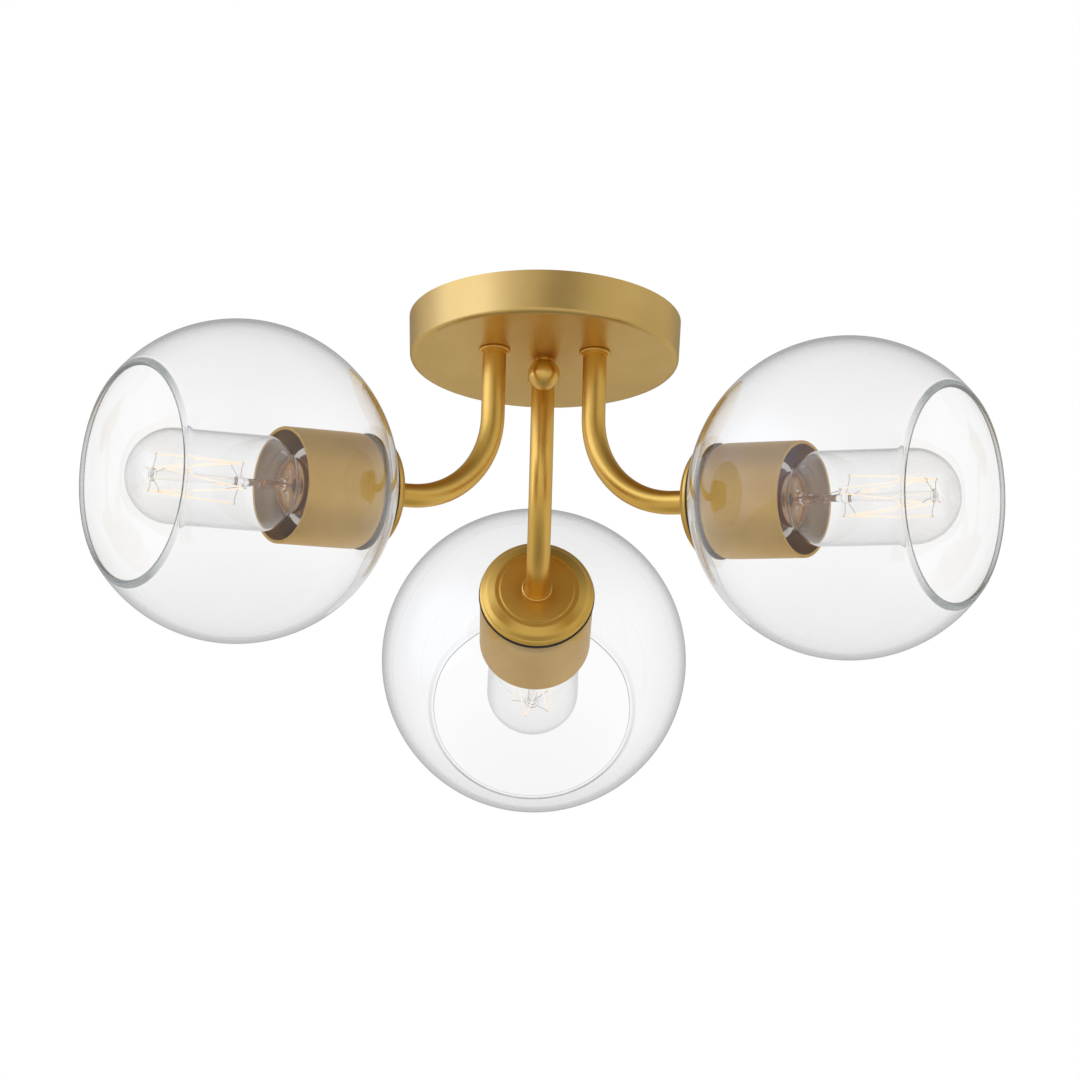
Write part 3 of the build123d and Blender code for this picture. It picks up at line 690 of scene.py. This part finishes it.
def threaded(name, low_t, high_t, mean_r, shrink, lip):
    """Thin rolled shell with a rounded thread. Its rings' centres go round the axis once for each pitch.

    Where the thread runs out, shrink is 1 for a shell that narrows to its root, or -1 for one that widens.
    lip is the smooth end past the thread: (r, t) points of its outside, then back along its inside.
    """
    count = round((high_t - low_t) / PITCH * RINGS_A_PITCH)
    run = [low_t + (high_t - low_t) * step / count for step in range(count + 1)]

    def lean(t):
        return THREAD_DEPTH * max(0.0, min(min(t - low_t, high_t - t) / (PITCH / 2), 1.0))

    outline = [(mean_r - shrink * (THREAD_DEPTH - lean(t)), t) for t in run] + lip
    outline += [(mean_r - THREAD_WALL - shrink * (THREAD_DEPTH - lean(t)), t) for t in reversed(run)]

    def shift(t):
        turn = 2 * pi * (t - CONTACT_T) / PITCH
        return (lean(t) * cos(turn), lean(t) * sin(turn))

    return turned(name, outline, True, THREAD_STEPS, shift)


shell_r = THREAD_MEAN_R + THREAD_GAP + THREAD_WALL
shell = threaded("rolled_shell", SHELL_LEDGE_T + 0.4, HOLDER_FACE_T - 1.3, shell_r, -1, [])
on_each_shade("rolled_shell", shell, rolled_brass, "fixture", "screw_shell")

# ---------------------------------------------------------------- globes
def wall_inside(turn):
    """Inner radius of the blown wall at a turn in degrees from the mouth's plane, thicker round the neck."""
    from_neck = 90 + turn
    extra = NECK_EXTRA * exp(-(((from_neck - NECK_EXTRA_AT) / NECK_EXTRA_WIDTH) ** 2))
    return GLOBE_R - GLASS_WALL - extra


def on_wall(radius, turn):
    """Point of the blown wall at a radius and a turn in degrees from the mouth's plane."""
    return (radius * cos(radians(turn)), radius * sin(radians(turn)))


bead_turn = asin((MOUTH_T - BEAD_R) / (GLOBE_R - BEAD_R)) * 180 / pi
hole_turn = -acos(GLASS_HOLE_R / GLOBE_R) * 180 / pi
inner_hole_turn = -acos(GLASS_HOLE_R / (GLOBE_R - GLASS_WALL)) * 180 / pi
inside_end = bead_turn - BEAD_FOOT
wall_shares = [step / WALL_STEPS for step in range(WALL_STEPS + 1)]
outside_turns = [hole_turn + (bead_turn - hole_turn) * share for share in wall_shares[:-1]]
inside_turns = [inner_hole_turn + (inside_end - inner_hole_turn) * share for share in wall_shares]
# The mouth's edge is a fire-polished bead that stands a little proud inside.
bead = arc(on_wall(GLOBE_R - BEAD_R, bead_turn), BEAD_R, bead_turn, bead_turn + BEAD_SWEEP, BEAD_STEPS)
globe_skin = [on_wall(GLOBE_R, turn) for turn in outside_turns] + bead
globe_skin += [on_wall(wall_inside(turn), turn) for turn in reversed(inside_turns)]
globe = turned("blown_globe", globe_skin, True, GLOBE_STEPS)
on_each_shade("blown_globe", globe, globe_glass, "fixture", "glass_globe")

# ---------------------------------------------------------------- bulbs
shoulder_turn = 2 * atan2(BULB_R - NECK_R, SHOULDER_END_T - SHOULDER_START_T) * 180 / pi
shoulder_r = (SHOULDER_END_T - SHOULDER_START_T) / sin(radians(shoulder_turn)) - SHOULDER_INNER_R
dome_t = BULB_TIP_T - BULB_R


def bulb_skin(inset):
    """Outline of the bulb's glass at a depth under its outside, from the neck to the tip."""
    neck_centre = (NECK_R + SHOULDER_INNER_R, SHOULDER_START_T)
    neck_arc = arc(neck_centre, SHOULDER_INNER_R + inset, 180, 180 - shoulder_turn, 10)
    body_arc = arc((BULB_R - shoulder_r, SHOULDER_END_T), shoulder_r - inset, -shoulder_turn, 0, 14)
    sides = [(BULB_R - inset, SHOULDER_END_T + (dome_t - SHOULDER_END_T) * step / 4) for step in range(1, 4)]
    dome = arc((0, dome_t), BULB_R - inset, 0, 90, 28)
    return [(NECK_R - inset, NECK_T)] + neck_arc + body_arc + sides + dome


def pooled(r, t):
    """Inside of the dome, where the glass pooled round its tip as it was closed."""
    return t - POOL_DEPTH * exp(-((r / POOL_R) ** 2)) if t > dome_t else t


inside = [(r, pooled(r, t)) for r, t in bulb_skin(BULB_GLASS)]
outline = [(max(r, 0.0), t) for r, t in bulb_skin(0.0)] + [(max(r, 0.0), t) for r, t in reversed(inside)]
envelope = turned("drawn_envelope", outline)
on_each_shade("drawn_envelope", envelope, bulb_glass, "bulb", "bulb_envelope")


def flattened(name, sections, steps=48):
    """Mesh through sections (t, half width, half thickness, squareness), as glass pressed between jaws."""
    rings = []
    for t, half_x, half_y, square in sections:
        if half_x == 0:
            rings.append([(0, 0, t)])
            continue
        ring = []
        for step in range(steps):
            a = 2 * pi * step / steps
            c, s = cos(a), sin(a)
            reach = (abs(c) ** square + abs(s) ** square) ** (-1 / square)
            ring.append((half_x * c * reach, half_y * s * reach, t))
        rings.append(ring)
    return ringed(name, rings)


def button(middle_t, radius, length):
    """Sections of a round glass button on the rod."""
    half = length / 2
    edge = min(half, radius - ROD_R)
    found = []
    for step in range(9):
        a = pi * step / 8
        found.append((middle_t - half * cos(a), radius - edge + edge * sin(a)))
    return [(t, max(r, ROD_R), max(r, ROD_R), 2) for t, r in found]


flare_t = NECK_T + 0.1
stem_sections = [
    (PINCH_START_T - 0.9, 0, 0, 2),
    (PINCH_START_T - 1.1, 1.3, 1.3, 2),
    (PINCH_START_T - 1.8, 2.2, 2.2, 2),
    (flare_t + 5.0, 2.3, 2.3, 2),
    (flare_t + 3.4, 3.0, 3.0, 2),
    (flare_t + 1.8, 5.6, 5.6, 2),
    (flare_t + 0.6, 9.0, 9.0, 2),
    (flare_t + 0.05, 11.0, 11.0, 2),
    (flare_t + 0.5, 11.2, 11.2, 2),
    (flare_t + 1.4, 9.6, 9.6, 2),
    (flare_t + 2.8, 6.2, 6.2, 2),
    (flare_t + 4.4, 3.9, 3.9, 2),
    (flare_t + 6.0, 3.2, 3.2, 2),
    (PINCH_START_T - 0.2, 3.2, 3.2, 2),
    (PINCH_START_T + 1.4, 3.7, 2.3, 2.6),
    (PINCH_START_T + 2.6, 4.15, 1.65, 3.6),
    (PINCH_START_T + 5.0, 4.2, 1.6, 4),
    (PINCH_END_T - 1.6, 4.2, 1.6, 4),
    (PINCH_END_T - 0.6, 3.9, 1.65, 3.4),
    (PINCH_END_T + 0.1, 3.0, 1.7, 2.6),
    (PINCH_END_T + 0.7, 2.0, 1.7, 2),
    (PINCH_END_T + 1.6, 1.65, 1.65, 2),
]
stem_sections += button(INNER_BUTTON_T, 2.6, 4.4) + button(OUTER_BUTTON_T, 3.3, 2.0)
stem_sections[-1] = (OUTER_BUTTON_T + 1.0, 2.0, 2.0, 2)
stem_sections += [(OUTER_BUTTON_T + 1.0, 1.0, 1.0, 2), (OUTER_BUTTON_T + 1.0, 0, 0, 2)]
stem = flattened("pressed_stem", stem_sections)
on_each_shade("pressed_stem", stem, stem_glass, "bulb", "bulb_stem")

root_r = THREAD_MEAN_R - THREAD_DEPTH
base_lip = soften(
    [
        (root_r, BASE_THREAD_TOP_T + 0.1, 0),
        (BASE_RIM_R, BASE_THREAD_TOP_T + 0.9, 0.3),
        (BASE_RIM_R, BASE_TOP_T, 0.12),
        (BASE_RIM_R - THREAD_WALL, BASE_TOP_T, 0.12),
        (BASE_RIM_R - THREAD_WALL, BASE_THREAD_TOP_T + 1.1, 0.3),
        (root_r - THREAD_WALL, BASE_THREAD_TOP_T + 0.3, 0),
    ],
    closed=False,
)
base = threaded("rolled_base", BASE_BOTTOM_T, BASE_THREAD_TOP_T, THREAD_MEAN_R, 1, base_lip)
on_each_shade("rolled_base", base, rolled_brass, "bulb", "bulb_base")

cement_skin = soften(
    [
        (3.4, CEMENT_LOW_T, 0.3),
        (11.7, CEMENT_LOW_T, 0.3),
        (11.75, NECK_T - 0.25, 0.3),
        (9.5, NECK_T - 0.35, 0.3),
        (3.4, NECK_T - 0.9, 0.5),
    ]
)
cement_collar = turned("basing_cement", cement_skin, True, TURNED_STEPS // 2)
on_each_shade("basing_cement", cement_collar, cement, "bulb")

hook_step = 180.0 / FILAMENT_HOOKS
hooks = []
for place in range(2 * FILAMENT_HOOKS + 1):
    end_turn = {0: FILAMENT_END_TURN, 2 * FILAMENT_HOOKS: -FILAMENT_END_TURN}.get(place, 0.0)
    r, t = FILAMENT_OUTER if place % 2 else FILAMENT_INNER
    hooks.append((r, place * hook_step + end_turn, t))


def bowed(start, end, bow):
    """Run between two hooks that bows away from the axis, as a hot filament does."""
    a, b = Vector(around(*start)), Vector(around(*end))
    middle = (a + b) / 2
    out = Vector((middle.x, middle.y, 0)).normalized()
    return [a + (b - a) * s / 6 + out * bow * sin(pi * s / 6) for s in range(7)]


filament_run = []
for start, end in zip(hooks, hooks[1:]):
    filament_run += bowed(start, end, FILAMENT_BOW)[:-1]
filament_run.append(around(*hooks[-1]))
filament = wires("coiled_filament", [filament_run], FILAMENT_COIL_R)
on_each_shade("coiled_filament", filament, filament_glow, "bulb", "bulb_filament")


def hooked(root, hook, curl):
    """Support wire from a button to its hook, which goes most of the way round the filament."""
    r, turn, t = hook
    outward = Vector((cos(radians(turn)), sin(radians(turn)), 0))
    lift = Vector((0, 0, curl))
    tip = outward * r + Vector((0, 0, t))
    under = [tip - outward * 1.5, tip - outward * 0.7 + lift * 0.2]
    return [root, *under, tip + lift, tip + outward * 0.75, tip - lift]


support_runs = []
for hook in hooks[1:-1]:
    outer = hook[2] == FILAMENT_OUTER[1]
    root = around(3.2, hook[1], OUTER_BUTTON_T) if outer else around(2.5, hook[1], INNER_BUTTON_T)
    support_runs.append(hooked(root, hook, SUPPORT_CURL if outer else -SUPPORT_CURL))
for hook, y in ((hooks[0], 0.35), (hooks[-1], -0.35)):
    root = Vector((3.1, y, PINCH_END_T - 0.5))
    elbow = Vector(around(4.6, hook[1], PINCH_END_T + 4.0))
    support_runs.append([root, root + Vector((0, 0, 1.6)), elbow] + hooked(elbow, hook, -SUPPORT_CURL)[1:])
supports = wires("support_wires", support_runs, SUPPORT_WIRE_R, 3)
on_each_shade("support_wires", supports, nickel, "bulb", "bulb_wires")

seal_path = ((2.9, PINCH_END_T - 0.4), (2.9, PINCH_START_T + 2), (1.6, PINCH_START_T - 1), (1.4, NECK_T - 3))
seal_runs = [[(x * way, 0, t) for x, t in seal_path] for way in (1, -1)]
seals = wires("seal_wires", seal_runs, SEAL_WIRE_R, 3)
on_each_shade("seal_wires", seals, seal_copper, "bulb")

# ---------------------------------------------------------------- floor, lamps and camera
# The floor is in metres: its side, its depth under the ceiling, where it fades to white as it goes away from
# under the fitting, and where metal sees a painted shade on it, darkest right under the fitting.
FLOOR_SIDE, FLOOR_DEPTH = 32.0, 4.4
FADE_START, FADE_END = 2.0, 12.0
SHADE_INSIDE, SHADE_OUTSIDE = 0.75, 6.3


def studio_floor_paint(name, colour):
    """Pale matt paint under the fitting, which glows and turns to plain white some metres away.

    Metal sees a painted shade on it, darkest right under the fitting, and matt surfaces see the bare paint.
    """
    material, tree, output = blank(name)
    paint = add_node(tree, "ShaderNodeBsdfDiffuse", {"Color": linear(colour)})
    spot = add_node(tree, "ShaderNodeTexCoord").outputs["Object"]
    away = add_node(tree, "ShaderNodeVectorMath", links={0: spot}, operation="LENGTH").outputs["Value"]
    path = add_node(tree, "ShaderNodeLightPath")
    mirrored = add_node(
        tree, "ShaderNodeMath", {1: 0.5}, {0: path.outputs["Glossy Depth"]}, operation="GREATER_THAN"
    )
    far = add_node(
        tree, "ShaderNodeMapRange", {"From Min": FADE_START, "From Max": FADE_END}, {"Value": away}
    ).outputs["Result"]
    seen = add_node(tree, "ShaderNodeMapRange", {"To Min": 0.92}, {"Value": far})
    # Painted shade that only mirrored rays see: the floor dims towards the spot under the fitting.
    in_metal = add_node(
        tree,
        "ShaderNodeMapRange",
        {"From Min": SHADE_INSIDE, "From Max": SHADE_OUTSIDE, "To Min": 0.12, "To Max": 0.72},
        {"Value": away},
    )
    glow = add_node(
        tree,
        "ShaderNodeMix",
        links={
            "Factor": mirrored.outputs["Value"],
            "A": seen.outputs["Result"],
            "B": in_metal.outputs["Result"],
        },
    )
    light = add_node(
        tree, "ShaderNodeEmission", {"Color": (1, 1, 1, 1)}, {"Strength": glow.outputs["Result"]}
    )
    share = add_node(tree, "ShaderNodeMapRange", {"To Min": 0.75}, {"Value": far})
    matt = add_node(
        tree,
        "ShaderNodeMix",
        {"B": 0.0},
        {"Factor": path.outputs["Is Diffuse Ray"], "A": share.outputs["Result"]},
    )
    both = add_node(
        tree,
        "ShaderNodeMixShader",
        links={0: matt.outputs["Result"], 1: paint.outputs["BSDF"], 2: light.outputs["Emission"]},
    )
    tree.links.new(both.outputs["Shader"], output.inputs["Surface"])
    return material


half = FLOOR_SIDE / 2
floor_corners = [(-half, -half, 0), (half, -half, 0), (half, half, 0), (-half, half, 0)]
floor_mesh = bpy.data.meshes.new("studio_floor")
floor_mesh.from_pydata(floor_corners, [], [(0, 1, 2, 3)])
floor_mesh.materials.append(studio_floor_paint("pale_matt_floor_paint", "#F0EFEC"))
floor = bpy.data.objects.new("studio_floor", floor_mesh)
floor.location = (0, 0, -FLOOR_DEPTH)
bpy.context.scene.collection.objects.link(floor)

world = bpy.data.worlds.new("studio")
bpy.context.scene.world = world
world.use_nodes = True
world.node_tree.nodes.clear()
sky = world.node_tree
towards = add_node(sky, "ShaderNodeTexCoord").outputs["Generated"]
path = add_node(sky, "ShaderNodeLightPath")


def surround(level, walls):
    """Colour seen in each direction: a plain level, and soft walls that are brighter or dimmer than it.

    A wall is (azimuth, elevation, start of its fade, end of its fade, change), in degrees. The azimuth is
    from the camera's side of the fitting, and the fades are from the wall's middle.
    """
    total = add_node(sky, "ShaderNodeCombineXYZ", {"X": level, "Y": level, "Z": level}).outputs["Vector"]
    for azimuth, elevation, inner, outer, change in walls:
        a, e = radians(azimuth), radians(elevation)
        aim = (sin(a) * cos(e), -cos(a) * cos(e), sin(e))
        near = add_node(sky, "ShaderNodeVectorMath", {1: aim}, {0: towards}, operation="DOT_PRODUCT")
        share = add_node(
            sky,
            "ShaderNodeMapRange",
            {"From Min": cos(radians(outer)), "From Max": cos(radians(inner))},
            {"Value": near.outputs["Value"]},
            interpolation_type="SMOOTHSTEP",
        )
        part = add_node(
            sky, "ShaderNodeVectorMath", {0: change}, {"Scale": share.outputs["Result"]}, operation="SCALE"
        )
        total = add_node(
            sky, "ShaderNodeVectorMath", links={0: part.outputs["Vector"], 1: total}, operation="ADD"
        ).outputs["Vector"]
    return add_node(sky, "ShaderNodeBackground", links={"Color": total}).outputs["Background"]


# What the bare brass sees round it: a bright cool wall at the left, a dim one in front and a dim ceiling.
studio_walls = surround(
    0.66,
    (
        (-74, 12, 6, 40, (0.78, 0.94, 1.45)),
        (-110, 16, 6, 30, (0.10, 0.13, 0.35)),
        (-40, 12, 4, 26, (0.27, 0.32, 0.6)),
        (12, 20, 3, 22, (-0.36, -0.37, -0.38)),
        (60, 60, 15, 50, (-0.22, -0.22, -0.22)),
        (0, 90, 20, 62, (-0.26, -0.26, -0.26)),
        (-8, -14, 6, 30, (0.22, 0.26, 0.34)),
        (180, 20, 15, 50, (-0.3, -0.3, -0.3)),
        (64, 16, 4, 26, (0.16, 0.17, 0.2)),
    ),
)
# What brass inside a globe sees through the glass: an even room, brighter behind, with a dim ceiling.
globe_walls = surround(0.66, ((180, 5, 10, 55, (0.1, 0.1, 0.1)), (0, 90, 15, 60, (-0.3, -0.3, -0.3))))
# What lights matt surfaces, and the white that the camera sees.
fill = add_node(sky, "ShaderNodeBackground", {"Color": (1, 1, 1, 1), "Strength": 0.7}).outputs["Background"]
white = add_node(sky, "ShaderNodeBackground", {"Color": (1, 1, 1, 1), "Strength": 1.0}).outputs["Background"]
# Which rays these are: mirrored by anything, crossed through glass, scattered by a matt surface.
mirrored = add_node(
    sky, "ShaderNodeMath", {1: 0.5}, {0: path.outputs["Glossy Depth"]}, operation="GREATER_THAN"
).outputs["Value"]
crossed = add_node(
    sky, "ShaderNodeMath", {1: 0.5}, {0: path.outputs["Transmission Depth"]}, operation="GREATER_THAN"
).outputs["Value"]
scattered = add_node(
    sky, "ShaderNodeMath", {1: 0.5}, {0: path.outputs["Diffuse Depth"]}, operation="GREATER_THAN"
).outputs["Value"]
# The camera sees white, straight or through clear glass, and metal sees the walls.
unmirrored = add_node(sky, "ShaderNodeMath", {0: 1.0}, {1: mirrored}, operation="SUBTRACT").outputs["Value"]
unscattered = add_node(
    sky, "ShaderNodeMath", {0: 1.0}, {1: scattered}, operation="SUBTRACT"
).outputs["Value"]
through_glass = add_node(
    sky,
    "ShaderNodeMath",
    links={0: path.outputs["Is Transmission Ray"], 1: unmirrored},
    operation="MULTIPLY",
).outputs["Value"]
seen_through = add_node(
    sky, "ShaderNodeMath", links={0: through_glass, 1: unscattered}, operation="MULTIPLY"
).outputs["Value"]
sees_white = add_node(
    sky, "ShaderNodeMath", links={0: path.outputs["Is Camera Ray"], 1: seen_through}, operation="MAXIMUM"
).outputs["Value"]
in_metal = add_node(
    sky, "ShaderNodeMath", links={0: path.outputs["Is Glossy Ray"], 1: mirrored}, operation="MULTIPLY"
).outputs["Value"]
reflected = add_node(
    sky, "ShaderNodeMixShader", links={0: crossed, 1: studio_walls, 2: globe_walls}
).outputs["Shader"]
sight = add_node(sky, "ShaderNodeMixShader", links={0: in_metal, 1: fill, 2: reflected}).outputs["Shader"]
shown = add_node(sky, "ShaderNodeMixShader", links={0: sees_white, 1: sight, 2: white}).outputs["Shader"]
add_node(sky, "ShaderNodeOutputWorld", links={"Surface": shown})


LAMP_AIM = Vector((0, 0, -0.09))


def softbox(name, place, side, power):
    """Square area lamp that looks at the light fitting, and that no reflection shows."""
    lamp = bpy.data.lights.new(name, "AREA")
    lamp.shape, lamp.size, lamp.energy = "SQUARE", side, power
    made = bpy.data.objects.new(name, lamp)
    made.location = place
    made.rotation_euler = (LAMP_AIM - Vector(place)).to_track_quat("-Z", "Y").to_euler()
    made.visible_glossy = made.visible_transmission = False
    bpy.context.scene.collection.objects.link(made)


softbox("left_softbox", (-2.2, -1.5, 0.3), 1.6, 30)
softbox("right_softbox", (2.3, -1.3, 0.1), 1.4, 20)

# The photograph was taken from below and a long way off, a little to one side and with a slight roll.
AZIMUTH, ELEVATION, ROLL = radians(-0.56), radians(19.76), radians(1.37)
DISTANCE, SHIFT_RIGHT, SHIFT_UP = 3.37839, 0.00248, 0.10485
FOCAL_PIXELS, FRAME_PIXELS, SENSOR_MM = 7077.91, 1080, 36.0
ahead = Vector((-sin(AZIMUTH) * cos(ELEVATION), cos(AZIMUTH) * cos(ELEVATION), sin(ELEVATION)))
level_right = Vector((cos(AZIMUTH), sin(AZIMUTH), 0))
right = level_right * cos(ROLL) + level_right.cross(ahead) * sin(ROLL)
above = level_right.cross(ahead) * cos(ROLL) - level_right * sin(ROLL)
camera = bpy.data.objects.new("camera", bpy.data.cameras.new("camera"))
camera.data.sensor_width = SENSOR_MM
camera.data.lens = FOCAL_PIXELS / FRAME_PIXELS * SENSOR_MM
camera.matrix_world = Matrix((right, above, -ahead)).transposed().to_4x4()
camera.matrix_world.translation = -(right * SHIFT_RIGHT + above * SHIFT_UP + ahead * DISTANCE)
bpy.context.scene.collection.objects.link(camera)
bpy.context.scene.camera = camera
bpy.context.scene.view_settings.view_transform = "Standard"

# Enough bounces for light to cross both glasses and to find its way out of the globes' rims.
BOUNCES = 32
cycles = bpy.context.scene.cycles
cycles.max_bounces = cycles.transmission_bounces = cycles.glossy_bounces = BOUNCES
cycles.transparent_max_bounces = BOUNCES
